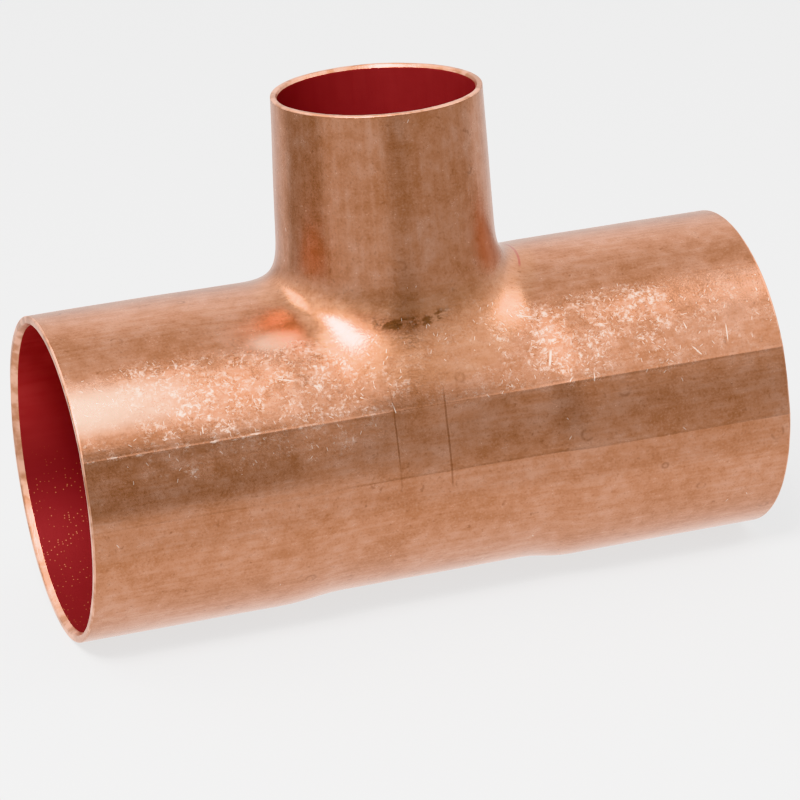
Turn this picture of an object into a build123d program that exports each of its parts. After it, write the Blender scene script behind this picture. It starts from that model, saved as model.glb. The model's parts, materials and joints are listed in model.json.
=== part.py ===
from build123d import *

import os

from build123d.topology.shape_core import SkipClean
from OCP.BRepFilletAPI import BRepFilletAPI_MakeFillet
from OCP.gp import gp_Pnt2d
from OCP.TColgp import TColgp_Array1OfPnt2d

# Reducing tee for copper tube, with a solder socket at each of its three ends.
#
# The whole fitting is one piece of copper. A length of seamless tube is bulged out sideways into a
# smaller branch, and its three ends are then sized into sockets. Nothing is joined on.
#
# Frame, in millimetres: the run lies along X, the branch points up +Z, and the origin is where
# their centre lines cross.

# The tubes that the sockets take, by outside diameter, and the gap all round that the solder fills.
RUN_TUBE_OD = 34.925            # nominal 1 1/4 inch
BRANCH_TUBE_OD = 22.225         # nominal 3/4 inch
SOLDER_GAP = 0.06

# How far each tube goes in before it meets the stop.
RUN_SOCKET_DEPTH = 24.6
BRANCH_SOCKET_DEPTH = 19.05

# The run. Its middle, the body, is a little narrower than the sockets, inside and outside.
RUN_LENGTH = 82.6
RUN_SOCKET_WALL = 1.17
BODY_RADIUS = 18.10
BODY_BORE_RADIUS = 16.90
SHOULDER_START = 17.9           # from the middle to where a socket's outside begins to narrow
SHOULDER_LENGTH = 7.4
RUN_STOP_LENGTH = 4.4           # the slope inside, from socket to body, that stops the tube

# The branch. Drawing it out thins its wall towards the mouth, so its outside is a slight cone.
BRANCH_HEIGHT = 39.6            # from the run's centre line to the branch's mouth
BRANCH_MOUTH_RADIUS = 11.96
BRANCH_ROOT_RADIUS = 12.62      # where it meets the top of the body
BRANCH_BORE_RADIUS = 10.55      # below the stop
BRANCH_STOP_LENGTH = 1.1

# Where the branch flows out of the run, outside and inside. The collar is tight along the top of
# the run and broad in front and behind, where the run's skin falls away more gently.
COLLAR_SIDE_RADIUS = 3.2
COLLAR_FRONT_RADIUS = 20.0
COLLAR_SHARPENING = 1.5         # how fast the radius falls off from the front towards the sides
COLLAR_SAMPLES = 17             # places along each edge where the radius is given
THROAT_RADIUS = 2.4

# The rims: a rounded outer edge, and inside a lead-in that helps the tube to start.
RUN_RIM_RADIUS = 0.22
RUN_LEAD_IN = 0.75              # along the axis
RUN_LEAD_IN_WIDTH = 0.34        # across the wall
BRANCH_RIM_RADIUS = 0.20
BRANCH_LEAD_IN = 0.40
BRANCH_LEAD_IN_WIDTH = 0.20

# Worked out from the above.
RUN_SOCKET_RADIUS = RUN_TUBE_OD / 2 + SOLDER_GAP
RUN_SOCKET_OUTER_RADIUS = RUN_SOCKET_RADIUS + RUN_SOCKET_WALL
BRANCH_SOCKET_RADIUS = BRANCH_TUBE_OD / 2 + SOLDER_GAP
HALF_RUN = RUN_LENGTH / 2


def turned_solid(axis, draw_outline):
    """The solid that a closed outline in the XZ plane sweeps round an axis."""
    with BuildPart() as solid:
        with BuildSketch(Plane.XZ):
            with BuildLine():
                draw_outline()
            make_face()
        revolve(axis=axis)
    return solid.part


def slope(high, low):
    """An S of two equal arcs from the point high down to the point low, flat at both ends."""
    middle = ((high[0] + low[0]) / 2, (high[1] + low[1]) / 2)
    inward = (1, 0) if low[0] > high[0] else (-1, 0)
    outward = (-inward[0], 0)
    TangentArc(high, middle, tangent=inward)
    TangentArc(low, middle, tangent=outward)


def stepped_run(rim, socket_radius, slope_start, slope_end, body_radius):
    """A solid of the run's length: wide at both ends and narrower over the body, with a slope between.

    rim draws the outline's corner at the mouth on the side given, and returns its inner end.
    """

    def draw_outline():
        for side in (-1, 1):
            rim_end = rim(side)
            Line((side * HALF_RUN, 0), (0, 0))
            Line(rim_end, (side * slope_start, socket_radius))
            slope((side * slope_start, socket_radius), (side * slope_end, body_radius))
            Line((side * slope_end, body_radius), (0, body_radius))

    return turned_solid(Axis.X, draw_outline)


def run_outside():
    """The run's outer skin, filled in."""

    def rounded_rim(side):
        face_end = (side * HALF_RUN, RUN_SOCKET_OUTER_RADIUS - RUN_RIM_RADIUS)
        skin_end = (side * (HALF_RUN - RUN_RIM_RADIUS), RUN_SOCKET_OUTER_RADIUS)
        Line((side * HALF_RUN, 0), face_end)
        TangentArc(face_end, skin_end, tangent=(0, 1))
        return skin_end

    shoulder_end = SHOULDER_START - SHOULDER_LENGTH
    return stepped_run(
        rounded_rim, RUN_SOCKET_OUTER_RADIUS, SHOULDER_START, shoulder_end, BODY_RADIUS
    )


def run_hollow():
    """The space inside the run: two sockets, the slopes that stop the tubes, and the body's bore."""

    def opened_rim(side):
        face_end = (side * HALF_RUN, RUN_SOCKET_RADIUS + RUN_LEAD_IN_WIDTH)
        bore_end = (side * (HALF_RUN - RUN_LEAD_IN), RUN_SOCKET_RADIUS)
        Line((side * HALF_RUN, 0), face_end)
        Line(face_end, bore_end)
        return bore_end

    stop = HALF_RUN - RUN_SOCKET_DEPTH
    return stepped_run(
        opened_rim, RUN_SOCKET_RADIUS, stop, stop - RUN_STOP_LENGTH, BODY_BORE_RADIUS
    )


def branch_outside():
    """The branch's outer skin, filled in and carried down to the run's centre line."""
    widening = (BRANCH_ROOT_RADIUS - BRANCH_MOUTH_RADIUS) / (BRANCH_HEIGHT - BODY_RADIUS)
    foot = (BRANCH_ROOT_RADIUS + widening * BODY_RADIUS, 0)
    skin_end = (BRANCH_MOUTH_RADIUS, BRANCH_HEIGHT - BRANCH_RIM_RADIUS)
    face_end = (BRANCH_MOUTH_RADIUS - BRANCH_RIM_RADIUS, BRANCH_HEIGHT)

    def draw_outline():
        Polyline((0, BRANCH_HEIGHT), (0, 0), foot, skin_end)
        TangentArc(skin_end, face_end, tangent=(0, 1))
        Line(face_end, (0, BRANCH_HEIGHT))

    return turned_solid(Axis.Z, draw_outline)


def branch_hollow():
    """The space inside the branch: its socket, the stop, and the bore down into the run."""
    stop = BRANCH_HEIGHT - BRANCH_SOCKET_DEPTH

    def draw_outline():
        Polyline(
            (0, 0),
            (BRANCH_BORE_RADIUS, 0),
            (BRANCH_BORE_RADIUS, stop - BRANCH_STOP_LENGTH),
            (BRANCH_SOCKET_RADIUS, stop),
            (BRANCH_SOCKET_RADIUS, BRANCH_HEIGHT - BRANCH_LEAD_IN),
            (BRANCH_SOCKET_RADIUS + BRANCH_LEAD_IN_WIDTH, BRANCH_HEIGHT),
            (0, BRANCH_HEIGHT),
            (0, 0),
        )

    return turned_solid(Axis.Z, draw_outline)


def collar_radius(place):
    """The collar's radius at a place on the curve where the skins cross."""
    toward_front = place.Y ** 2 / (place.X ** 2 + place.Y ** 2)
    broadening = COLLAR_FRONT_RADIUS - COLLAR_SIDE_RADIUS
    return COLLAR_SIDE_RADIUS + broadening * toward_front ** COLLAR_SHARPENING


def collared_quarter(run, branch):
    """The quarter of run and branch at +X and -Y, joined by the outer collar."""
    quarter = Box(RUN_LENGTH, RUN_LENGTH, 2 * RUN_LENGTH, align=(Align.MIN, Align.MAX, Align.CENTER))
    run, branch = run & quarter, branch & quarter
    both = run + branch
    collar = BRepFilletAPI_MakeFillet(both.solid().wrapped)
    for edge in new_edges(run, branch, combined=both):
        middle = edge @ 0.5
        if middle.X > 0.01 and middle.Y < -0.01:        # not in the planes of the cut
            collar.Add(edge.wrapped)
    chain = [Edge(collar.Edge(1, number + 1)) for number in range(collar.NbEdges(1))]
    inward = (chain[0] @ 0.5).X > (chain[-1] @ 0.5).X
    for number, edge in enumerate(chain):
        forward = ((edge @ 0).X > (edge @ 1).X) == inward
        radii = TColgp_Array1OfPnt2d(1, COLLAR_SAMPLES)
        for sample in range(COLLAR_SAMPLES):
            share = sample / (COLLAR_SAMPLES - 1)
            place = edge @ (share if forward else 1 - share)
            radii.SetValue(sample + 1, gp_Pnt2d(share, collar_radius(place)))
        collar.SetRadius(radii, 1, number + 1)
    return Part(collar.Shape())


def hollow():
    """The space inside, rounded along the curve where run and branch cross."""
    run, branch = run_hollow(), branch_hollow()
    both = run + branch
    return fillet(new_edges(run, branch, combined=both), THROAT_RADIUS)


def tee_body():
    """The whole fitting, mirrored from one quarter so that all four come out alike."""
    quarter = collared_quarter(run_outside(), branch_outside()) - hollow()
    with SkipClean():       # faces merged across the mirror planes don't survive the STEP file
        right_half = quarter + mirror(quarter, about=Plane.XZ)
        return right_half + mirror(right_half, about=Plane.YZ)


os.makedirs("parts", exist_ok=True)
tee = tee_body()
print("volume", round(tee.volume), "valid", tee.is_valid, "size", tee.bounding_box().size)
export_step(tee, "parts/tee_body.step")
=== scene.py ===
import json
import math

import bmesh
import bpy
import numpy as np
from mathutils import Matrix, Vector


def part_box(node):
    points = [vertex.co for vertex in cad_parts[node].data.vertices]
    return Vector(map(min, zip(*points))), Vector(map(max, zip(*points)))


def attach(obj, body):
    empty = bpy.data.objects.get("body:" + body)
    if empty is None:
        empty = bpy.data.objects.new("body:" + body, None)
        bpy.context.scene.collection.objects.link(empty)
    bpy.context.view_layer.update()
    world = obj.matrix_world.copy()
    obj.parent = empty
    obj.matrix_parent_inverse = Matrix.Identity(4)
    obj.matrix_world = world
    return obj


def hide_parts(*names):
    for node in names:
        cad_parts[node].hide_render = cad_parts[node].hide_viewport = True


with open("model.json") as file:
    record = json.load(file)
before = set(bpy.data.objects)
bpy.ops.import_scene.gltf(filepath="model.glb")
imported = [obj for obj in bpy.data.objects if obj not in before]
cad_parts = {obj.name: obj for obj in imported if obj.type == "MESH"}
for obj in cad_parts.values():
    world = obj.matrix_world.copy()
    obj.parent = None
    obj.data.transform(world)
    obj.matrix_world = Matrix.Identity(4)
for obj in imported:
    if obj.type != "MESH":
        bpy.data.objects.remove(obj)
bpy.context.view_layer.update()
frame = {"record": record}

# The looks of a copper reducing tee: one bulge-formed piece, dressed as cold-formed copper.
# Lengths are in millimetres in the row frame until a mesh, light or camera is made: the run lies
# along X, the branch points up +Z, and the origin is where their centre lines cross.

MM = 0.001                      # one millimetre in metres
SEED = 7

# --- sizes that the frame gives -------------------------------------------------------------

BOX_LOW, BOX_HIGH = (np.array(corner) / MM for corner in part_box("tee_body"))
HALF_RUN = BOX_HIGH[0]
SOCKET_OUTER = BOX_HIGH[1]
MOUTH_Z = BOX_HIGH[2]
FLOOR_Z = BOX_LOW[2]
MOUNTS = {mount["name"]: mount for mount in frame["record"]["mounts"]}


def bore_radius(name):
    return MOUNTS[name]["dims"]["r_mm"]


def bore_length(name):
    return MOUNTS[name]["dims"]["length_mm"]


SOCKET_BORE = bore_radius("run_socket_right")
BODY_BORE = bore_radius("waterway")
STOP_FOOT = bore_length("waterway") / 2
STOP_TOP = MOUNTS["run_socket_right"]["pos_m"][0] / MM - bore_length("run_socket_right") / 2
BRANCH_BORE = bore_radius("branch_socket")
BRANCH_STOP_TOP = MOUNTS["branch_socket"]["pos_m"][2] / MM - bore_length("branch_socket") / 2

# --- shape of the skins ---------------------------------------------------------------------

SLACK = 0.07                    # the outer skin stays this far inside the box, for ridges and waves
BODY_OUTER = 18.10
BODY_OUTER_ON_TOP = 18.42       # drawing the branch has lifted the top, so the shoulders fade out there
LIFT_END = math.radians(80)     # the lift is gone at this angle from +Z
LIFT_SPAN = math.radians(50)    # after fading over this angle
SHOULDERS = {-1: (17.9, 9.3), 1: (18.0, 11.6)}   # how far out each socket's shoulder starts and ends
BRANCH_MOUTH_OUTER = 11.96
BRANCH_ROOT_OUTER = 12.62
BRANCH_THROAT = 10.55
BRANCH_STOP_FOOT = BRANCH_STOP_TOP - 1.1

# How far from the crossing the curve that joins run and branch reaches, outside and inside.
COLLAR_BLEND = 5.4
COLLAR_WIDENING = 4.6           # added in front and behind
THROAT_BLEND = 4.0
BLEND_HEIGHT = 9.0              # above the centre line, where the curve has its whole reach

# The die left a land along each side of the run. To the left it is creased at its upper edge, under
# a soft brow, and eases back into the round at its lower one. To the right it is partly flat.
BROW_TOP = math.radians(55)     # angles are from +Z round the run
LAND_TOP = math.radians(66.7)
LAND_BOTTOM = math.radians(91.1)
BROW_SLOPE = math.radians(5.6)  # how much more than the round the skin turns in above the crease
CREASE_SLOPE = math.radians(9.0)    # and under it
SHARP_UNTIL, SHARP_FADE = -36, 30   # x where the crease starts to dull, and over what length it does
DULL_CREASE = 0.6               # the share of its slope that it keeps
FLAT_FROM, FLAT_FADE = -20, 24  # x where the land starts to turn flat, and over what length it does
LAND_FLATNESS = 0.45            # how far it gets from round towards flat
RIDGE_HEIGHTS = (0.025, 0.018)  # fine ridges at the land's upper and lower edge
RIDGE_WIDTH = 0.11

# Shallow dents all over, as waves with lengths between these.
DENT_COUNT = 28
DENT_LENGTHS = (26.0, 5.0)
DENT_HEIGHT = 0.055
DENT_LIMIT = 0.04
INNER_DENTS = 0.35              # how much of a dent shows inside

# --- grid of the skins ----------------------------------------------------------------------

WINDOW_X = 18.0                 # half-length of the patch of run that the collar is worked into
WINDOW_ANGLE = math.radians(62)
WINDOW_X_CELLS = 72
WINDOW_ANGLE_CELLS = 82
OUTER_X_CELLS = 46              # along the run from the window to a mouth
INNER_X_CELLS = 12
LAST_CELL = 0.12                # a short cell just before a mouth, to keep the rim crisp
RIDGE_ROWS = np.radians([-1.1, -0.6, -0.3, 0, 0.3, 0.6, 1.1])   # close rows beside each ridge
RIDGE_CLEARANCE = np.radians(1.5)
FOOT_RINGS = 12                 # from the window's edge in to the branch's foot
FOOT_EASING = 1.35              # crowds them towards the foot
RISE_RINGS = 14                 # from the foot up to the first level ring
FIRST_LEVEL = 21.6
OUTER_LEVELS = 34
INNER_LEVELS = 10
SETTLE_STEPS = 7
RUN_SETTLE_STEPS = 5
PROBE = 1e-3                    # how far apart the skin is sampled to find its slope
LEAST_SLOPE = 0.05              # keeps a step short where the slope is nearly nothing
STOP_CLEARANCE = 0.4            # between the branch's stop and the next level ring inside
MOUTH_CLEARANCE = 0.2           # between the last level ring inside and the lead-in


def waves(rng, count, longest, shortest, height, limit):
    """A smooth random function of position, made of plane waves and never beyond limit."""
    directions = rng.normal(size=(count, 3))
    directions /= np.linalg.norm(directions, axis=1)[:, None]
    lengths = rng.uniform(shortest, longest, count)
    numbers = directions * (2 * np.pi / lengths)[:, None]
    phases = rng.uniform(0, 2 * np.pi, count)
    heights = height * lengths / longest / math.sqrt(count)

    def at(points):
        return limit * np.tanh(np.sin(points @ numbers.T + phases) @ heights / limit)

    return at


RNG = np.random.default_rng(SEED)
DENTS = waves(RNG, DENT_COUNT, *DENT_LENGTHS, DENT_HEIGHT, DENT_LIMIT)


def s_curve(t):
    """From 0 to 1 as two equal parabolas, flat at both ends."""
    t = np.clip(t, 0, 1)
    return np.where(t < 0.5, 2 * t * t, 1 - 2 * (1 - t) ** 2)


def run_outer_radius(x, angle):
    """The run's outside at x, with a shoulder to each socket and the die's lands and ridges."""
    x = np.asarray(x, float)
    start = np.where(x < 0, SHOULDERS[-1][0], SHOULDERS[1][0])
    end = np.where(x < 0, SHOULDERS[-1][1], SHOULDERS[1][1])
    lift = s_curve((LIFT_END - side_angle(angle)) / LIFT_SPAN)
    body = BODY_OUTER + (BODY_OUTER_ON_TOP - BODY_OUTER) * lift - SLACK
    socket = SOCKET_OUTER - SLACK
    radius = body + (socket - body) * s_curve((np.abs(x) - end) / (start - end))
    return radius - land_depth(x, radius, angle) + ridge_height(radius, angle)


def side_angle(angle):
    """The angle from +Z down either side, from 0 to pi."""
    return np.abs((angle + np.pi) % (2 * np.pi) - np.pi)


def land_depth(x, radius, angle):
    """How far the land lies inside the round."""
    side = side_angle(angle)
    sharp = 1 - s_curve((x - SHARP_UNTIL) / SHARP_FADE)
    above = np.clip((side - BROW_TOP) / (LAND_TOP - BROW_TOP), 0, 1)
    below = np.clip((side - LAND_TOP) / (LAND_BOTTOM - LAND_TOP), 0, 1)
    brow = sharp * BROW_SLOPE * (LAND_TOP - BROW_TOP) / 2 * above ** 2
    sharpness = DULL_CREASE + (1 - DULL_CREASE) * sharp
    crease = sharpness * CREASE_SLOPE * (LAND_BOTTOM - LAND_TOP) * below
    creased = (1 - below) ** 2 * (brow * (1 + 2 * below) + crease)
    middle, half = (LAND_TOP + LAND_BOTTOM) / 2, (LAND_BOTTOM - LAND_TOP) / 2
    off = np.clip(side - middle, -half, half)
    flat = LAND_FLATNESS * (1 - math.cos(half) / np.cos(off))
    return radius * (creased + (flat - creased) * s_curve((x - FLAT_FROM) / FLAT_FADE))


def ridge_height(radius, angle):
    side = side_angle(angle)
    upper, lower = ((side - edge) * radius / RIDGE_WIDTH for edge in (LAND_TOP, LAND_BOTTOM))
    return RIDGE_HEIGHTS[0] * np.exp(-upper ** 2) + RIDGE_HEIGHTS[1] * np.exp(-lower ** 2)


def run_inner_radius(x, angle):
    climb = s_curve((np.abs(x) - STOP_FOOT) / (STOP_TOP - STOP_FOOT))
    return BODY_BORE + (SOCKET_BORE - BODY_BORE) * climb + 0 * angle


def branch_outer_radius(z):
    down = (MOUTH_Z - z) / (MOUTH_Z - BODY_OUTER)
    return BRANCH_MOUTH_OUTER + (BRANCH_ROOT_OUTER - BRANCH_MOUTH_OUTER) * down


def branch_inner_radius(z):
    climb = np.clip((z - BRANCH_STOP_FOOT) / (BRANCH_STOP_TOP - BRANCH_STOP_FOOT), 0, 1)
    return BRANCH_THROAT + (BRANCH_BORE - BRANCH_THROAT) * climb


class Skin:
    """One skin of the wall, outer or inner: run and branch flowing together."""

    def __init__(self, run_radius, branch_radius, blend, widening, dents, x_cells, levels):
        self.run_radius = run_radius    # of the run alone, at an x and an angle
        self.branch_radius = branch_radius      # of the branch alone, at a z
        self.blend = blend              # reach of the curve that joins them, at the sides
        self.widening = widening        # and how much further it reaches in front and behind
        self.dents = dents
        self.x_cells = x_cells          # cells along the run outside the window, each side
        self.levels = levels            # heights of the branch's upper rings

    def distance(self, points):
        """Roughly how far points stand outside the skin."""
        x, y, z = points.T
        to_run = np.hypot(y, z) - self.run_radius(x, np.arctan2(-y, z))
        from_axis = np.hypot(x, y)
        to_branch = from_axis - self.branch_radius(z)
        reach = self.blend + self.widening * (y / np.maximum(from_axis, 1)) ** 2
        reach = np.maximum(reach * s_curve(z / BLEND_HEIGHT), 1e-3)
        closeness = np.maximum(reach - np.abs(to_run - to_branch), 0)
        to_branch = np.where(z > 0, to_branch, to_run + 1)
        joined = np.minimum(to_run, to_branch) - closeness ** 3 / (6 * reach ** 2)
        return joined - self.dents(points)

    def settle(self, points):
        """Moves points onto the skin, each along the skin's own slope."""
        for _ in range(SETTLE_STEPS):
            value = self.distance(points)
            steps = [points + PROBE * np.eye(3)[axis] for axis in range(3)]
            slope = np.stack([(self.distance(step) - value) / PROBE for step in steps], 1)
            points = points - slope * (value / np.maximum((slope ** 2).sum(1), LEAST_SLOPE))[:, None]
        return points


# --- building the closed mesh ---------------------------------------------------------------

OUTSIDE, INSIDE, RIM = 0, 1, 2    # the copper's three finishes, in material order


class Shell:
    """Vertices and quads, gathered ring by ring."""

    def __init__(self):
        self.points, self.quads, self.finishes, self.count = [], [], [], 0

    def add(self, points):
        """Keeps points and returns their numbers, in the same arrangement."""
        flat = points.reshape(-1, 3)
        numbers = np.arange(self.count, self.count + len(flat))
        self.points.append(flat)
        self.count += len(flat)
        return numbers.reshape(points.shape[:-1])

    def bridge(self, ring, following, finish, keep=None):
        """Quads between two closed rings, or only those columns that keep marks."""
        quads = np.stack([ring, np.roll(ring, -1), np.roll(following, -1), following], 1)
        quads = quads if keep is None else quads[keep]
        self.quads.append(quads)
        self.finishes.append(np.full(len(quads), finish))

    def loft(self, rings, finish):
        for ring, following in zip(rings, rings[1:]):
            self.bridge(ring, following, finish)


def graded_angles():
    """Angles round the run: even over the window, then on round with close rows at each ridge."""
    window = np.linspace(-WINDOW_ANGLE, WINDOW_ANGLE, WINDOW_ANGLE_CELLS + 1)
    spacing = window[1] - window[0]
    gap = 2 * np.pi - 2 * WINDOW_ANGLE
    even = WINDOW_ANGLE + np.linspace(0, gap, round(gap / spacing) + 1)[1:-1]
    edges = [LAND_TOP, LAND_BOTTOM, 2 * np.pi - LAND_BOTTOM, 2 * np.pi - LAND_TOP]
    close = np.add.outer(edges, RIDGE_ROWS).ravel()
    clear = np.abs(np.subtract.outer(even, edges)).min(1) > RIDGE_CLEARANCE
    return np.concatenate([window, np.sort(np.concatenate([even[clear], close]))])


def on_run(x, angle, radius):
    return np.stack([x + 0 * angle, -radius * np.sin(angle), radius * np.cos(angle)], -1)


def window_edge(first_x):
    """The window's boundary as grid places, clockwise from the middle of its +X side, from above."""
    i0, i1, j1 = first_x, first_x + WINDOW_X_CELLS, WINDOW_ANGLE_CELLS
    middle = j1 // 2
    right_front = [(i1, j) for j in range(middle, j1)]
    front = [(i, j1) for i in range(i1, i0, -1)]
    left = [(i0, j) for j in range(j1, 0, -1)]
    back = [(i, 0) for i in range(i0, i1)]
    right_back = [(i1, j) for j in range(middle)]
    return right_front + front + left + back + right_back


def windowed(x, angle):
    """Whether grid places are well inside the window, where the run has no wall of its own."""
    return (np.abs(x) < WINDOW_X - 0.01) & (np.abs(angle) < WINDOW_ANGLE - 0.001)


def build_skin(shell, skin, mouth_x, mouth_z, finish):
    """Adds a skin and returns its rings at the run's left mouth, right mouth and branch mouth."""
    angles = graded_angles()
    arm = np.linspace(WINDOW_X, mouth_x, skin.x_cells + 1)[1:]
    arm = np.concatenate([arm[:-1], [arm[-1] - LAST_CELL, arm[-1]]])
    window = np.linspace(-WINDOW_X, WINDOW_X, WINDOW_X_CELLS + 1)
    xs = np.concatenate([-arm[::-1], window, arm])
    first = len(arm)

    x, angle = np.meshgrid(xs, angles, indexing="ij")
    radius = skin.run_radius(x, angle)
    for _ in range(RUN_SETTLE_STEPS):
        off = skin.distance(on_run(x, angle, radius).reshape(-1, 3)).reshape(x.shape)
        radius = np.where(windowed(x, angle), radius, radius - off)
    numbers = shell.add(on_run(x, angle, radius))
    outside_window = np.ones(len(angles), bool)
    outside_window[:WINDOW_ANGLE_CELLS] = False
    for i in range(len(xs) - 1):
        across = first <= i < first + WINDOW_X_CELLS
        shell.bridge(numbers[i], numbers[i + 1], finish, outside_window if across else None)

    places = np.array(window_edge(first))
    edge = numbers[places[:, 0], places[:, 1]]
    rings = [edge] + [shell.add(r) for r in branch_rings(skin, xs, angles, places, mouth_z)]
    shell.loft(rings, finish)
    return numbers[0], numbers[-1], rings[-1]


def branch_rings(skin, xs, angles, places, mouth_z):
    """Rings of points from the window's edge in to the branch's foot and up to its mouth."""
    count = len(places)
    azimuth = -2 * np.pi * np.arange(count) / count
    foot_radius = skin.branch_radius(np.array(BODY_OUTER))
    foot_x, foot_y = foot_radius * np.cos(azimuth), foot_radius * np.sin(azimuth)
    body = skin.run_radius(0.0, 0.0)
    foot_angle = np.arcsin(-foot_y / body)
    edge_x, edge_angle = xs[places[:, 0]], angles[places[:, 1]]

    rings = []
    for t in np.linspace(0, 1, FOOT_RINGS + 1)[1:]:
        eased = 1 - (1 - t) ** FOOT_EASING
        x = edge_x + (foot_x - edge_x) * eased
        angle = edge_angle + (foot_angle - edge_angle) * eased
        rings.append(skin.settle(on_run(x, angle, skin.run_radius(x, angle))))
    foot_z = body * np.cos(foot_angle)
    for t in np.linspace(0, 1, RISE_RINGS + 1)[1:]:
        z = foot_z + (skin.levels[0] - foot_z) * t
        rings.append(skin.settle(round_branch(azimuth, z, skin.branch_radius(z))))
    for z in list(skin.levels[1:]) + [mouth_z]:
        z = np.full(count, z)
        rings.append(skin.settle(round_branch(azimuth, z, skin.branch_radius(z))))
    return rings


def round_branch(azimuth, z, radius):
    return np.stack([radius * np.cos(azimuth), radius * np.sin(azimuth), z], -1)


# The rims: the CAD's sizes, a little uneven where they were cut and deburred.
RUN_RIM_ROUND = 0.22
RUN_LEAD_IN = 0.75
RUN_LEAD_IN_WIDTH = 0.34
BRANCH_RIM_ROUND = 0.20
BRANCH_LEAD_IN = 0.40
BRANCH_LEAD_IN_WIDTH = 0.20
FACE_UNEVENNESS = 0.07
LEAD_IN_LEAST, LEAD_IN_SPREAD = 0.8, 0.4    # the lead-in's width varies, as shares of the above
BURR_DEPTH, BURR_WIDTH = 0.04, 0.02     # the small bevel between face and lead-in
EDGE_TURNS = np.radians([22, 45, 68, 90])   # where rings lie on the rounded edge
FACE_SHARES = (0.5, 0.9)        # and across the face
LEAD_IN_SHARES = (0.35, 0.7, 0.92)      # and down the lead-in


def unevenness(angle, rng):
    """A closed wavy line round a mouth, from 0 to about 1."""
    orders = np.array([1, 2, 3, 5, 8, 13, 21, 34])
    phases = rng.uniform(0, 2 * np.pi, len(orders))
    heights = rng.uniform(0.4, 1.0, len(orders)) / np.sqrt(orders)
    wave = np.sin(np.multiply.outer(angle, orders) + phases) @ heights
    return (wave - wave.min()) / (wave.max() - wave.min())


def build_rim(shell, outer, inner, axis, side, mouth, rounding, lead_in, lead_in_width, rng):
    """Joins an outer ring to an inner one across a mouth: rounded edge, cut face and lead-in."""
    points = np.concatenate(shell.points)
    start, end = points[outer], points[inner]
    cross = [k for k in range(3) if k != axis]
    out_radius = np.hypot(*start[:, cross].T)
    in_radius = np.hypot(*end[:, cross].T)
    direction = start[:, cross] / out_radius[:, None]
    turn = np.arctan2(direction[:, 1], direction[:, 0])
    face = mouth - FACE_UNEVENNESS * unevenness(turn, rng)
    width = lead_in_width * (LEAD_IN_LEAST + LEAD_IN_SPREAD * unevenness(turn, rng))
    lead_radius = in_radius + width

    profile = []        # places along the axis and radii: the rounded edge, the face, the lead-in
    for t in EDGE_TURNS:
        along = mouth - rounding + (face - mouth + rounding) * math.sin(t)
        profile.append((along, out_radius - rounding * (1 - math.cos(t))))
    face_in, face_width = out_radius - rounding, out_radius - rounding - lead_radius
    profile += [(face, face_in - share * face_width) for share in FACE_SHARES]
    profile.append((face - BURR_DEPTH, lead_radius - BURR_WIDTH))
    for share in LEAD_IN_SHARES:
        along = face + (mouth - lead_in - face) * share
        profile.append((along, lead_radius + (in_radius - lead_radius) * share))

    rings = [outer]
    for along, radius in profile:
        ring = np.empty((len(outer), 3))
        ring[:, cross] = direction * np.broadcast_to(radius, len(outer))[:, None]
        ring[:, axis] = side * along
        rings.append(shell.add(ring))
    shell.loft(rings + [inner], RIM)


def build_tee():
    """The whole fitting as one closed mesh."""
    shell = Shell()
    outer_levels = np.linspace(FIRST_LEVEL, MOUTH_Z - BRANCH_RIM_ROUND - LAST_CELL, OUTER_LEVELS)
    above_stop = np.linspace(BRANCH_STOP_TOP + STOP_CLEARANCE,
                             MOUTH_Z - BRANCH_LEAD_IN - MOUTH_CLEARANCE, INNER_LEVELS)
    inner_levels = np.concatenate([[BRANCH_STOP_FOOT, BRANCH_STOP_TOP], above_stop])
    outer = Skin(run_outer_radius, branch_outer_radius, COLLAR_BLEND, COLLAR_WIDENING,
                 DENTS, OUTER_X_CELLS, outer_levels)
    inner = Skin(run_inner_radius, branch_inner_radius, THROAT_BLEND, 0,
                 lambda points: INNER_DENTS * DENTS(points), INNER_X_CELLS, inner_levels)
    out_left, out_right, out_top = build_skin(
        shell, outer, HALF_RUN - RUN_RIM_ROUND, MOUTH_Z - BRANCH_RIM_ROUND, OUTSIDE)
    in_left, in_right, in_top = build_skin(
        shell, inner, HALF_RUN - RUN_LEAD_IN, MOUTH_Z - BRANCH_LEAD_IN, INSIDE)
    run_rim = (RUN_RIM_ROUND, RUN_LEAD_IN, RUN_LEAD_IN_WIDTH, RNG)
    branch_rim = (BRANCH_RIM_ROUND, BRANCH_LEAD_IN, BRANCH_LEAD_IN_WIDTH, RNG)
    build_rim(shell, out_left, in_left, 0, -1, HALF_RUN, *run_rim)
    build_rim(shell, out_right, in_right, 0, 1, HALF_RUN, *run_rim)
    build_rim(shell, out_top, in_top, 2, 1, MOUTH_Z, *branch_rim)
    return shell


def to_object(shell, name):
    """A smooth-shaded object from a shell, without the window's unused points."""
    points, quads = np.concatenate(shell.points), np.concatenate(shell.quads)
    used, renumbered = np.unique(quads, return_inverse=True)
    mesh = bpy.data.meshes.new(name)
    mesh.from_pydata((points[used] * MM).tolist(), [], renumbered.reshape(-1, 4).tolist())
    mesh.polygons.foreach_set("material_index", np.concatenate(shell.finishes).astype(np.int32))
    mesh.polygons.foreach_set("use_smooth", np.ones(len(quads), bool))
    face_outwards(mesh)
    piece = bpy.data.objects.new(name, mesh)
    bpy.context.scene.collection.objects.link(piece)
    return piece


def face_outwards(mesh):
    """Turns every face of a closed mesh to look outwards."""
    work = bmesh.new()
    work.from_mesh(mesh)
    bmesh.ops.recalc_face_normals(work, faces=work.faces)
    work.to_mesh(mesh)
    work.free()


# --- materials ------------------------------------------------------------------------------

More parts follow.
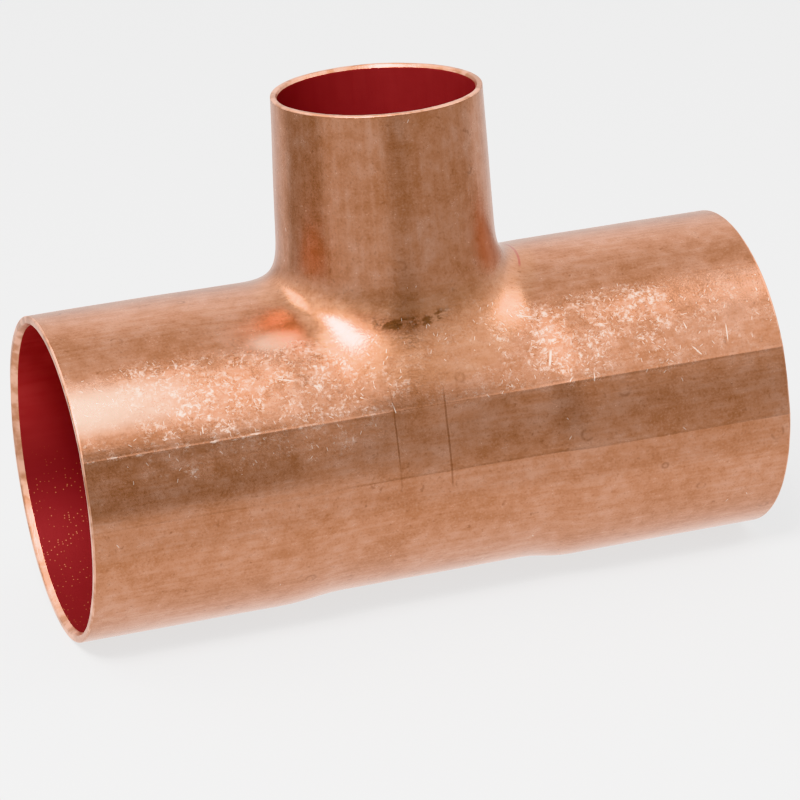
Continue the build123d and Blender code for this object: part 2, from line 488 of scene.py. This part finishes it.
class Surface:
    """One material's node graph, built with short calls. Places are in millimetres."""

    def __init__(self, name, metallic):
        self.material = bpy.data.materials.new(name)
        self.material.use_nodes = True
        self.tree = self.material.node_tree
        self.shader = self.tree.nodes["Principled BSDF"]
        self.shader.inputs["Metallic"].default_value = metallic
        coordinates = self.tree.nodes.new("ShaderNodeTexCoord").outputs["Object"]
        self.place = self.vector("MULTIPLY", coordinates, (1 / MM,) * 3)
        split = self.tree.nodes.new("ShaderNodeSeparateXYZ")
        self.tree.links.new(self.place, split.inputs[0])
        self.x, self.y, self.z = split.outputs

    def put(self, socket, value):
        """Links a socket to another, or sets it to a number or colour."""
        if isinstance(value, bpy.types.NodeSocket):
            self.tree.links.new(value, socket)
        elif socket.type == "RGBA":
            socket.default_value = (*value, 1)
        else:
            socket.default_value = value

    def math(self, operation, *values):
        node = self.tree.nodes.new("ShaderNodeMath")
        node.operation = operation
        for socket, value in zip(node.inputs, values):
            self.put(socket, value)
        return node.outputs[0]

    def vector(self, operation, *values):
        node = self.tree.nodes.new("ShaderNodeVectorMath")
        node.operation = operation
        for socket, value in zip(node.inputs, values):
            self.put(socket, value)
        number = operation in ("DOT_PRODUCT", "LENGTH", "DISTANCE")
        return node.outputs["Value" if number else "Vector"]

    def scaled(self, vector, number):
        node = self.tree.nodes.new("ShaderNodeVectorMath")
        node.operation = "SCALE"
        self.put(node.inputs[0], vector)
        self.put(node.inputs["Scale"], number)
        return node.outputs["Vector"]

    def step(self, value, low, high):
        """A smooth step from 0 at low to 1 at high; high may be the lower of the two."""
        node = self.tree.nodes.new("ShaderNodeMapRange")
        node.interpolation_type = "SMOOTHSTEP"
        self.put(node.inputs["Value"], value)
        flip = low > high
        node.inputs["From Min"].default_value = min(low, high)
        node.inputs["From Max"].default_value = max(low, high)
        node.inputs["To Min"].default_value = 1.0 if flip else 0.0
        node.inputs["To Max"].default_value = 0.0 if flip else 1.0
        return node.outputs["Result"]

    def band(self, value, low, high, soft):
        """1 between low and high, falling to 0 over soft on each side."""
        return self.times(self.step(value, low - soft, low), self.step(value, high + soft, high))

    def times(self, *values):
        product = values[0]
        for value in values[1:]:
            product = self.math("MULTIPLY", product, value)
        return product

    def plus(self, *values):
        total = values[0]
        for value in values[1:]:
            total = self.math("ADD", total, value)
        return total

    def spread(self, value, low, high):
        """A number from 0 to 1 spread from low to high."""
        return self.math("MULTIPLY_ADD", value, high - low, low)

    def mix(self, share, first, second):
        """A colour from first to second, as share goes from 0 to 1."""
        node = self.tree.nodes.new("ShaderNodeMix")
        node.data_type = "RGBA"
        node.clamp_factor = True
        self.put(node.inputs["Factor"], share)
        self.put(node.inputs[6], first)
        self.put(node.inputs[7], second)
        return node.outputs[2]

    def noise(self, size, detail=2.0, stretch=(1, 1, 1), shift=0.0, roughness=0.5):
        """Noise from 0 to 1, with lumps of about size millimetres."""
        node = self.tree.nodes.new("ShaderNodeTexNoise")
        where = self.vector("MULTIPLY_ADD", self.place, tuple(1 / s for s in stretch), (shift,) * 3)
        self.put(node.inputs["Vector"], where)
        node.inputs["Scale"].default_value = 1 / size
        node.inputs["Detail"].default_value = detail
        node.inputs["Roughness"].default_value = roughness
        return node.outputs["Fac"]

    def cells(self, size, shift=0.0):
        """The offset in millimetres from the nearest scattered point, and its random colour."""
        node = self.tree.nodes.new("ShaderNodeTexVoronoi")
        where = self.vector("ADD", self.place, (shift,) * 3)
        self.put(node.inputs["Vector"], where)
        node.inputs["Scale"].default_value = 1 / size
        offset = self.vector("SUBTRACT", where, node.outputs["Position"])
        return offset, node.outputs["Color"]

    def along_surface(self, vector):
        """The part of a vector that lies in the surface."""
        normal = self.tree.nodes.new("ShaderNodeNewGeometry").outputs["Normal"]
        height = self.vector("DOT_PRODUCT", vector, normal)
        return self.vector("SUBTRACT", vector, self.scaled(normal, height))

    def scratches(self, size, width, length, share, shift=0.0):
        """Short straight scratches lying every way, at most one to a cell, in this share of cells."""
        offset, colour = self.cells(size, shift)
        pull = self.vector("SUBTRACT", colour, (0.5, 0.5, 0.5))
        course = self.vector("NORMALIZE", self.along_surface(pull))
        flat = self.along_surface(offset)
        along = self.vector("DOT_PRODUCT", flat, course)
        across = self.vector("LENGTH", self.vector("SUBTRACT", flat, self.scaled(course, along)))
        chance = self.channel(colour, 2)
        kept = self.math("LESS_THAN", chance, share)
        thin = self.step(across, width, width * 0.35)
        ends = self.step(self.math("ABSOLUTE", along), length, length * 0.5)
        return self.times(thin, ends, kept)

    def specks(self, size, radius, share, shift=0.0):
        """Small round dots, at most one to a cell, in this share of the cells."""
        offset, colour = self.cells(size, shift)
        kept = self.math("LESS_THAN", self.channel(colour, 0), share)
        apart = self.vector("LENGTH", self.along_surface(offset))
        return self.times(self.step(apart, radius, radius * 0.5), kept)

    def rings(self, size, radius, width, share, shift=0.0):
        """Small drying rings, at most one to a cell, in this share of the cells."""
        offset, colour = self.cells(size, shift)
        kept = self.math("LESS_THAN", self.channel(colour, 0), share)
        apart = self.vector("LENGTH", self.along_surface(offset))
        own_radius = self.spread(self.channel(colour, 1), radius * 0.6, radius * 1.4)
        off_ring = self.math("ABSOLUTE", self.math("SUBTRACT", apart, own_radius))
        return self.times(self.step(off_ring, width, 0.0), kept)

    def channel(self, colour, number):
        node = self.tree.nodes.new("ShaderNodeSeparateColor")
        self.put(node.inputs[0], colour)
        return node.outputs[number]

    def bump(self, height, depth, under=None):
        """A normal from a height of 0 to 1 that stands depth millimetres, over another normal."""
        node = self.tree.nodes.new("ShaderNodeBump")
        self.put(node.inputs["Height"], height)
        node.inputs["Distance"].default_value = depth * MM
        if under is not None:
            self.put(node.inputs["Normal"], under)
        return node.outputs["Normal"]

    def finish(self, colour, roughness, normal):
        self.put(self.shader.inputs["Base Color"], colour)
        self.put(self.shader.inputs["Roughness"], roughness)
        self.put(self.shader.inputs["Normal"], normal)
        return self.material


# Colours are linear. The outside's come first, from the ground to what lies on it.
COPPER = (0.490, 0.236, 0.142)
COPPER_PALE = (0.545, 0.293, 0.198)
COPPER_BROWN = (0.415, 0.183, 0.098)
COPPER_STAINED = (0.300, 0.105, 0.058)
COPPER_GOLD = (0.560, 0.285, 0.145)
# Painted highlight: a pale copper set where the light's reflection is brightest.
COPPER_PAINTED_HIGHLIGHT = (0.74, 0.56, 0.46)
# Scuff marks with a painted glint: near white, as they look when they catch the light.
COPPER_SCUFF_GLINT = (0.97, 0.88, 0.80)
TARNISH = (0.22, 0.085, 0.040)
SMUDGE = (0.085, 0.028, 0.011)

# The inside, which copper's light on copper has reddened: painted reflection. The deep red is painted
# in the fold outside too, as the fold's shade.
COPPER_RED = (0.460, 0.076, 0.075)
COPPER_DEEP_RED = (0.400, 0.058, 0.058)
# Painted shade: the darker red of the bore low in the run and up the branch.
COPPER_PAINTED_SHADE_RED = (0.135, 0.021, 0.022)

# The rims.
COPPER_CUT = (0.70, 0.41, 0.30)

# Single marks on the outside.
SMUDGE_X, SMUDGE_CURVE = -2.8, 0.02     # the smudge above the front, along an arc
FOLD_RADIUS = 15.06             # from the branch's axis to the fold on the collar's right
GOUGE_X = 13.6                  # the one long scratch on the front right flank
GOUGE_ANGLE = math.radians(57)
# Painted highlight: where a pale spot is painted to the left of the collar.
PAINTED_HIGHLIGHT_SPOT = (-16.8, -10.3, 15.4)      # a paler spot to the left of the collar
DIE_LINES = (-5.56, 0.40)       # x of the two fine lines that the die left across the lands


def scuff_patches(s, side):
    """Where handling has scuffed the outside: the flanks, in clusters, and thinly elsewhere."""
    # The flanks are where the highlights fall on the run, so the scuffs' painted glints gather there.
    flank = s.band(side, math.radians(40), math.radians(62), math.radians(9))
    left = s.band(s.x, -30, -12, 9)
    right = s.band(s.x, 13, 25, 8)
    cluster = s.step(s.noise(3.4, 4.0, shift=11, roughness=0.6), 0.40, 0.62)
    thin = s.step(s.noise(7.0, 2.0, shift=31), 0.54, 0.76)
    strong = s.times(flank, s.plus(0.34, s.times(0.66, s.math("MAXIMUM", left, right))))
    below = s.band(side, math.radians(62), math.radians(75), math.radians(6))
    strong = s.math("MAXIMUM", strong, s.times(below, left, 0.42))
    return s.math("MAXIMUM", s.times(strong, s.spread(cluster, 0.22, 1.0)), s.times(thin, 0.05))


def smudge_and_halo(s, mottle, cloud):
    """The dark broken smudge in the crease above the front, and the brown stain round it."""
    from_middle = s.plus(s.x, -SMUDGE_X)
    crease = s.plus(s.z, s.times(from_middle, from_middle, -SMUDGE_CURVE), s.times(mottle, 0.9))
    in_front = s.step(s.y, -8, -10)
    in_crease = s.times(s.band(crease, 16.3, 16.75, 0.65), s.band(s.x, -5.2, 1.2, 2.0), in_front)
    broken = s.noise(0.7, 5.0, stretch=(1.6, 1, 1), shift=63, roughness=0.65)
    smudge = s.times(in_crease, s.step(broken, 0.42, 0.56), 0.90)
    halo = s.times(s.band(crease, 15.9, 17.1, 1.0), s.band(s.x, -7.0, -1.0, 2.5), in_front, cloud)
    return smudge, halo


def scuff_marks(s, side, patch):
    """How scuffed each place is, from 0 to 1, and the noise behind its flecks.

    The scuff marks are flecks, fine hairs, a few longer scratches, wear on the upper ridge and one
    gouge. Where they are set near white, they are painted glints.
    """
    knots = s.step(s.noise(1.6, 4.0, shift=49, roughness=0.6), 0.42, 0.58)
    fleck_noise = s.noise(0.60, 6.0, stretch=(1.0, 0.8, 0.8), shift=29, roughness=0.85)
    flecks = s.times(s.step(fleck_noise, 0.50, 0.60), patch, s.spread(knots, 0.30, 1.0))
    hairs = s.scratches(0.55, 0.05, 0.28, s.times(patch, 0.34), shift=1)
    long_ones = s.scratches(2.4, 0.065, 1.2, s.times(patch, 0.16), shift=19)
    ragged = s.step(s.noise(0.55, 4.0, stretch=(2.5, 1, 1), shift=83, roughness=0.65), 0.52, 0.66)
    on_ridge = s.band(side, math.radians(66.2), math.radians(66.9), math.radians(0.5))
    ridge_scuffs = s.times(on_ridge, s.band(s.x, -42, -16, 9), ragged, 0.7)
    down = s.times(s.math("SUBTRACT", side, GOUGE_ANGLE), SOCKET_OUTER)
    across = s.plus(s.x, s.times(down, 0.3), -GOUGE_X)
    gouge = s.times(s.band(across, -0.05, 0.05, 0.13), s.band(down, -0.6, 0.6, 0.5), s.step(s.y, 0, -1))
    scuffs_and_glints = s.math("MAXIMUM", flecks, s.math("MAXIMUM", s.times(hairs, 0.7), long_ones))
    return s.math("MAXIMUM", scuffs_and_glints, s.math("MAXIMUM", ridge_scuffs, gouge)), fleck_noise


def copper_outside():
    """Satin cold-formed copper: drawing lines, mottling, scuffs, drying rings and die marks."""
    s = Surface("copper_outside", metallic=1)
    side = s.math("ARCTAN2", s.math("ABSOLUTE", s.y), s.z)
    on_branch = s.step(s.z, 18.6, 23.0)
    on_run = s.math("SUBTRACT", 1, on_branch)

    # Lines left by drawing: along the run, and up the branch.
    run_lines = s.noise(0.50, 2.0, stretch=(14, 1, 1), shift=3)
    branch_lines = s.noise(0.75, 2.0, stretch=(1, 1, 12), shift=5)
    lines = s.plus(s.times(run_lines, on_run), s.times(branch_lines, on_branch))

    # The ground: brown to pale.
    cloud = s.noise(8.0, 2.0, shift=17)
    mottle = s.noise(1.5, 3.0, shift=23)
    grain = s.noise(0.26, 2.0, shift=41)
    tone = s.plus(s.times(cloud, 0.36), s.times(mottle, 0.38), s.times(lines, 0.26))
    colour = s.mix(s.step(tone, 0.48, 0.64), COPPER, COPPER_PALE)
    colour = s.mix(s.times(s.step(tone, 0.52, 0.38), 0.8), colour, COPPER_BROWN)
    colour = s.mix(s.times(s.step(grain, 0.50, 0.74), 0.5), colour, COPPER_PALE)

    # Tarnish: a few drying rings, small blots, fine dark grain, and the smudge.
    rings = s.times(s.rings(4.6, 0.55, 0.30, 0.10, shift=2), s.step(mottle, 0.40, 0.60), 0.45)
    blots = s.times(s.step(s.noise(0.9, 3.0, shift=57), 0.66, 0.76), 0.40)
    dark_grain = s.times(s.step(grain, 0.44, 0.28), 0.25)
    for mark in (rings, blots, dark_grain):
        colour = s.mix(mark, colour, TARNISH)
    smudge, halo = smudge_and_halo(s, mottle, cloud)
    colour = s.mix(s.times(halo, 0.9), colour, COPPER_STAINED)
    colour = s.mix(smudge, colour, SMUDGE)

    # The collar: yellower where it was stretched, with painted shade in a fine fold on its right.
    from_axis = s.math("SQRT", s.plus(s.times(s.x, s.x), s.times(s.y, s.y)))
    at_foot = s.times(s.step(s.z, 8.0, 11.0), s.step(s.z, 21.0, 17.5))
    collar = s.times(s.band(from_axis, 13.4, 16.0, 1.6), at_foot)
    colour = s.mix(s.times(collar, mottle, 0.4), colour, COPPER_GOLD)
    # Painted shade: a fine line of deep red where a fold runs on the collar's right.
    fold_painted_shade = s.band(from_axis, FOLD_RADIUS - 0.06, FOLD_RADIUS + 0.06, 0.14)
    fold_painted_shade = s.times(fold_painted_shade, s.band(s.y, -4.5, 2.0, 1.2), s.step(s.x, 9.0, 11.0))
    colour = s.mix(s.times(fold_painted_shade, 0.55), colour, COPPER_DEEP_RED)

    # Wear: pits, and scuff marks with painted glints, in the patches, over a painted highlight as a
    # pale band at the left end and a painted highlight as one pale spot.
    patch = scuff_patches(s, side)
    pits = s.times(s.step(s.noise(0.36, 4.0, shift=53, roughness=0.7), 0.44, 0.34), patch)
    colour = s.mix(s.times(pits, 0.55), colour, TARNISH)
    # Painted highlight: the band at the left end is paled where the light's reflection falls.
    painted_highlight_band = s.band(side, math.radians(46), math.radians(52), math.radians(9))
    colour = s.mix(s.times(painted_highlight_band, s.step(s.x, -22, -40), 0.7), colour, COPPER_PAINTED_HIGHLIGHT)
    # Painted highlight: a pale spot to the left of the collar.
    from_painted_highlight_spot = s.vector("MULTIPLY", s.vector("SUBTRACT", s.place, PAINTED_HIGHLIGHT_SPOT), (0.5, 1, 1))
    painted_highlight_spot = s.step(s.vector("LENGTH", from_painted_highlight_spot), 2.0, 0.5)
    colour = s.mix(s.times(painted_highlight_spot, 0.75), colour, COPPER_PAINTED_HIGHLIGHT)
    scuffs_and_glints, fleck_noise = scuff_marks(s, side, patch)
    # Scuffs are real wear; their near-white colour is a painted glint.
    colour = s.mix(s.times(scuffs_and_glints, 0.70), colour, COPPER_SCUFF_GLINT)

    # Marks of the die: two fine lines across the lands near the middle.
    wander = s.plus(s.x, s.times(mottle, 0.12))
    left_line = s.band(wander, DIE_LINES[0] - 0.06, DIE_LINES[0] + 0.06, 0.06)
    right_line = s.band(wander, DIE_LINES[1] - 0.06, DIE_LINES[1] + 0.06, 0.09)
    on_land = s.band(side, math.radians(62), math.radians(95), math.radians(3))
    die_marks = s.times(s.math("MAXIMUM", left_line, right_line), on_land)
    colour = s.mix(s.times(die_marks, s.step(cloud, 0.35, 0.55), 0.5), colour, TARNISH)

    # The die has burnished the collar, and scuffing has dulled the patches.
    roughness = s.plus(0.18, s.times(mottle, 0.08), s.times(grain, 0.06), s.times(scuffs_and_glints, 0.08))
    roughness = s.plus(roughness, s.times(patch, 0.05), s.times(collar, -0.04))
    normal = s.bump(s.noise(2.6, 2.0, shift=71), 0.022)
    normal = s.bump(s.plus(lines, s.times(die_marks, -1)), 0.008, under=normal)
    normal = s.bump(s.plus(grain, s.times(fleck_noise, patch)), 0.012, under=normal)
    return s.finish(colour, roughness, normal)


def copper_inside():
    """The inside, a deep red where copper reflects copper, painted darker as shade low in the run and
    up the branch, with faint lines along the walls.
    """
    s = Surface("copper_inside", metallic=0.4)
    s.shader.inputs["Specular IOR Level"].default_value = 0
    on_branch = s.step(s.z, 17.0, 20.0)
    on_run = s.math("SUBTRACT", 1, on_branch)
    run_lines = s.noise(0.9, 2.0, stretch=(16, 1, 1), shift=13)
    branch_lines = s.noise(0.7, 2.0, stretch=(1, 1, 14), shift=15)
    lines = s.plus(s.times(run_lines, on_run), s.times(branch_lines, on_branch))
    mottle = s.noise(2.2, 3.0, shift=27)
    tone = s.plus(s.times(lines, 0.5), s.times(mottle, 0.5))
    colour = s.mix(s.step(tone, 0.66, 0.34), COPPER_RED, COPPER_DEEP_RED)
    # Painted shade: the bore darkens low in the run and up the branch.
    painted_shade_in_bore = s.math("MAXIMUM", s.step(s.z, 10, -6), s.times(on_branch, 0.86))
    colour = s.mix(painted_shade_in_bore, colour, COPPER_PAINTED_SHADE_RED)
    nicks = s.specks(0.50, 0.09, 0.30, shift=37)
    near_left = s.times(s.step(s.x, -24, -34), s.step(s.z, 0, -9), s.step(mottle, 0.40, 0.60))
    colour = s.mix(s.times(nicks, near_left, 0.6), colour, COPPER_BROWN)
    normal = s.bump(lines, 0.012)
    normal = s.bump(s.noise(0.35, 2.0, shift=33), 0.010, under=normal)
    return s.finish(colour, s.plus(0.46, s.times(mottle, 0.16)), normal)


def copper_rim():
    """The cut rims: bright and finely torn."""
    s = Surface("copper_rim", metallic=1)
    tear = s.noise(0.22, 3.0, shift=9)
    patch = s.noise(1.8, 3.0, shift=21)
    colour = s.mix(s.step(patch, 0.40, 0.62), COPPER, COPPER_CUT)
    normal = s.bump(tear, 0.032)
    return s.finish(colour, s.plus(0.22, s.times(patch, 0.20)), normal)


# --- studio ---------------------------------------------------------------------------------

FLOOR_SIZE = 6                  # in metres
FLOOR_TONE = 0.10               # what the table's top reflects
FLOOR_GLOW = 0.75               # what shines up through it

CARD_Z = FLOOR_Z + 1            # the cards lie just over the floor
CARD_NEAR, CARD_FAR = 100, 700  # from the origin to a fan's inner and outer edge

CAMERA_AZIMUTH = -17.61         # degrees from -Y towards +X
CAMERA_ELEVATION = 18.93
CAMERA_ROLL = -3.65
CAMERA_AIM = (0.5, 0, 2.47)
CAMERA_DISTANCE = 443
CAMERA_LENS = 172.8


def glowing_material(name, tone, glow):
    """A matt grey surface, from 0 for black to 1 for white, that also shines evenly."""
    material = bpy.data.materials.new(name)
    material.use_nodes = True
    shader = material.node_tree.nodes["Principled BSDF"]
    shader.inputs["Base Color"].default_value = (tone, tone, tone, 1)
    shader.inputs["Roughness"].default_value = 0.9
    shader.inputs["Specular IOR Level"].default_value = 0
    shader.inputs["Emission Color"].default_value = (1, 1, 1, 1)
    shader.inputs["Emission Strength"].default_value = glow
    return material


def make_floor():
    """A light table: a plain pale top with a soft glow, so the underside isn't left in the dark."""
    bpy.ops.mesh.primitive_plane_add(size=FLOOR_SIZE, location=(0, 0, FLOOR_Z * MM))
    floor = bpy.context.object
    floor.name = "floor"
    floor.data.materials.append(glowing_material("light_table", FLOOR_TONE, FLOOR_GLOW))


def card(name, corners, glow):
    """A photographer's card of even brightness that shows only as a reflection in the metal."""
    mesh = bpy.data.meshes.new(name)
    mesh.from_pydata([Vector(c) * MM for c in corners], [], [list(range(len(corners)))])
    mesh.materials.append(glowing_material(name, 0, glow))
    board = bpy.data.objects.new(name, mesh)
    board.visible_camera = False
    board.visible_diffuse = False
    board.visible_shadow = False
    bpy.context.scene.collection.objects.link(board)


def fan(start, end):
    """Corners of a flat ring sector over the floor, at azimuths in degrees from -Y towards +X."""
    turns = np.radians(np.linspace(start, end, 25))
    arc = [(math.sin(t), -math.cos(t)) for t in turns]
    near = [(CARD_NEAR * x, CARD_NEAR * y, CARD_Z) for x, y in arc]
    far = [(CARD_FAR * x, CARD_FAR * y, CARD_Z) for x, y in reversed(arc)]
    return near + far


def make_world():
    """A soft surround: brightest half way up, dimmer overhead and round the horizon in front."""
    world = bpy.data.worlds.new("studio")
    bpy.context.scene.world = world
    world.use_nodes = True
    nodes, links = world.node_tree.nodes, world.node_tree.links
    direction = nodes.new("ShaderNodeTexCoord").outputs["Generated"]

    def fade(along, low, high, at_low, at_high):
        """A smooth change of strength as the direction's share of along goes from low to high."""
        dot = nodes.new("ShaderNodeVectorMath")
        dot.operation = "DOT_PRODUCT"
        dot.inputs[1].default_value = along
        links.new(direction, dot.inputs[0])
        ramp = nodes.new("ShaderNodeMapRange")
        ramp.interpolation_type = "SMOOTHSTEP"
        links.new(dot.outputs["Value"], ramp.inputs["Value"])
        for socket, value in zip(ramp.inputs[1:5], (low, high, at_low, at_high)):
            socket.default_value = value
        return ramp.outputs["Result"]

    def product(first, second):
        node = nodes.new("ShaderNodeMath")
        node.operation = "MULTIPLY"
        links.new(first, node.inputs[0])
        links.new(second, node.inputs[1])
        return node.outputs[0]

    front_dim = fade((0, 0.42, 1), -0.48, 0.25, 0.80, 1.36)
    horizon_dim = fade((0, 0, 1), 0.0, 0.50, 0.70, 1.0)
    zenith_dim = fade((0, 0, 1), 0.62, 0.92, 1.0, 0.76)
    background = nodes["Background"]
    links.new(product(product(front_dim, horizon_dim), zenith_dim), background.inputs["Strength"])
    background.inputs["Color"].default_value = (1, 1, 1, 1)


def area_light(name, direction, distance, size, radiance):
    """A soft box that faces the origin from a direction, with a given brightness of its face."""
    data = bpy.data.lights.new(name, "AREA")
    data.shape = "RECTANGLE"
    data.size, data.size_y = (side * MM for side in size)
    data.energy = radiance * math.pi * data.size * data.size_y
    lamp = bpy.data.objects.new(name, data)
    heading = Vector(direction).normalized()
    lamp.location = heading * distance * MM
    lamp.rotation_euler = heading.to_track_quat("Z", "Y").to_euler()
    lamp.visible_camera = False
    bpy.context.scene.collection.objects.link(lamp)


def make_camera():
    """The photograph's view, from a little to the left, above, and tilted slightly."""
    angles = (CAMERA_AZIMUTH, CAMERA_ELEVATION, CAMERA_ROLL)
    azimuth, elevation, roll = (math.radians(angle) for angle in angles)
    back = Vector((math.sin(azimuth) * math.cos(elevation),
                   -math.cos(azimuth) * math.cos(elevation), math.sin(elevation)))
    right = (-back).cross(Vector((0, 0, 1))).normalized()
    up = right.cross(-back)
    tilted_right = right * math.cos(roll) + up * math.sin(roll)
    tilted_up = up * math.cos(roll) - right * math.sin(roll)
    data = bpy.data.cameras.new("camera")
    data.lens = CAMERA_LENS
    camera = bpy.data.objects.new("camera", data)
    turned = Matrix((tilted_right, tilted_up, back)).transposed().to_4x4()
    place = Vector(CAMERA_AIM) + CAMERA_DISTANCE * back
    camera.matrix_world = Matrix.Translation(place * MM) @ turned
    bpy.context.scene.collection.objects.link(camera)
    bpy.context.scene.camera = camera


# --- the scene ------------------------------------------------------------------------------

# name, direction, distance and size in millimetres, radiance
LIGHTS = [
    ("key", (-0.370, -0.480, 0.800), 640, (270, 190), 57),
    ("second", (0.010, -0.405, 0.91), 500, (80, 130), 5.2),
    ("side", (0.68, -0.14, 0.74), 450, (150, 180), 5.0),
    ("rear", (-0.48, 0.30, 0.80), 500, (210, 240), 4.2),
]

# A card under the fitting, and one standing in front of it.
UNDER = [(x, y, FLOOR_Z + 0.05) for x, y in ((-70, -32), (70, -32), (70, 32), (-70, 32))]
UPRIGHT = [(x, -300, z) for x, z in ((-70, CARD_Z), (60, CARD_Z), (60, 150), (-70, 150))]

# name, corners, glow
CARDS = [
    ("card_front", fan(-12, 95), 0.77),
    ("card_warm_side", fan(-80, -12), 0.95),
    ("card_under", UNDER, 1.20),
    ("card_left", fan(-135, -80), 0.62),
    ("card_upright", UPRIGHT, 0.50),
]

make_camera()
make_floor()
make_world()
for light in LIGHTS:
    area_light(*light)
for reflection in CARDS:
    card(*reflection)

tee = to_object(build_tee(), "tee_copper")
for material in (copper_outside(), copper_inside(), copper_rim()):
    tee.data.materials.append(material)
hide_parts("tee_body")
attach(tee, "root")

bpy.context.scene.view_settings.view_transform = "Khronos PBR Neutral"
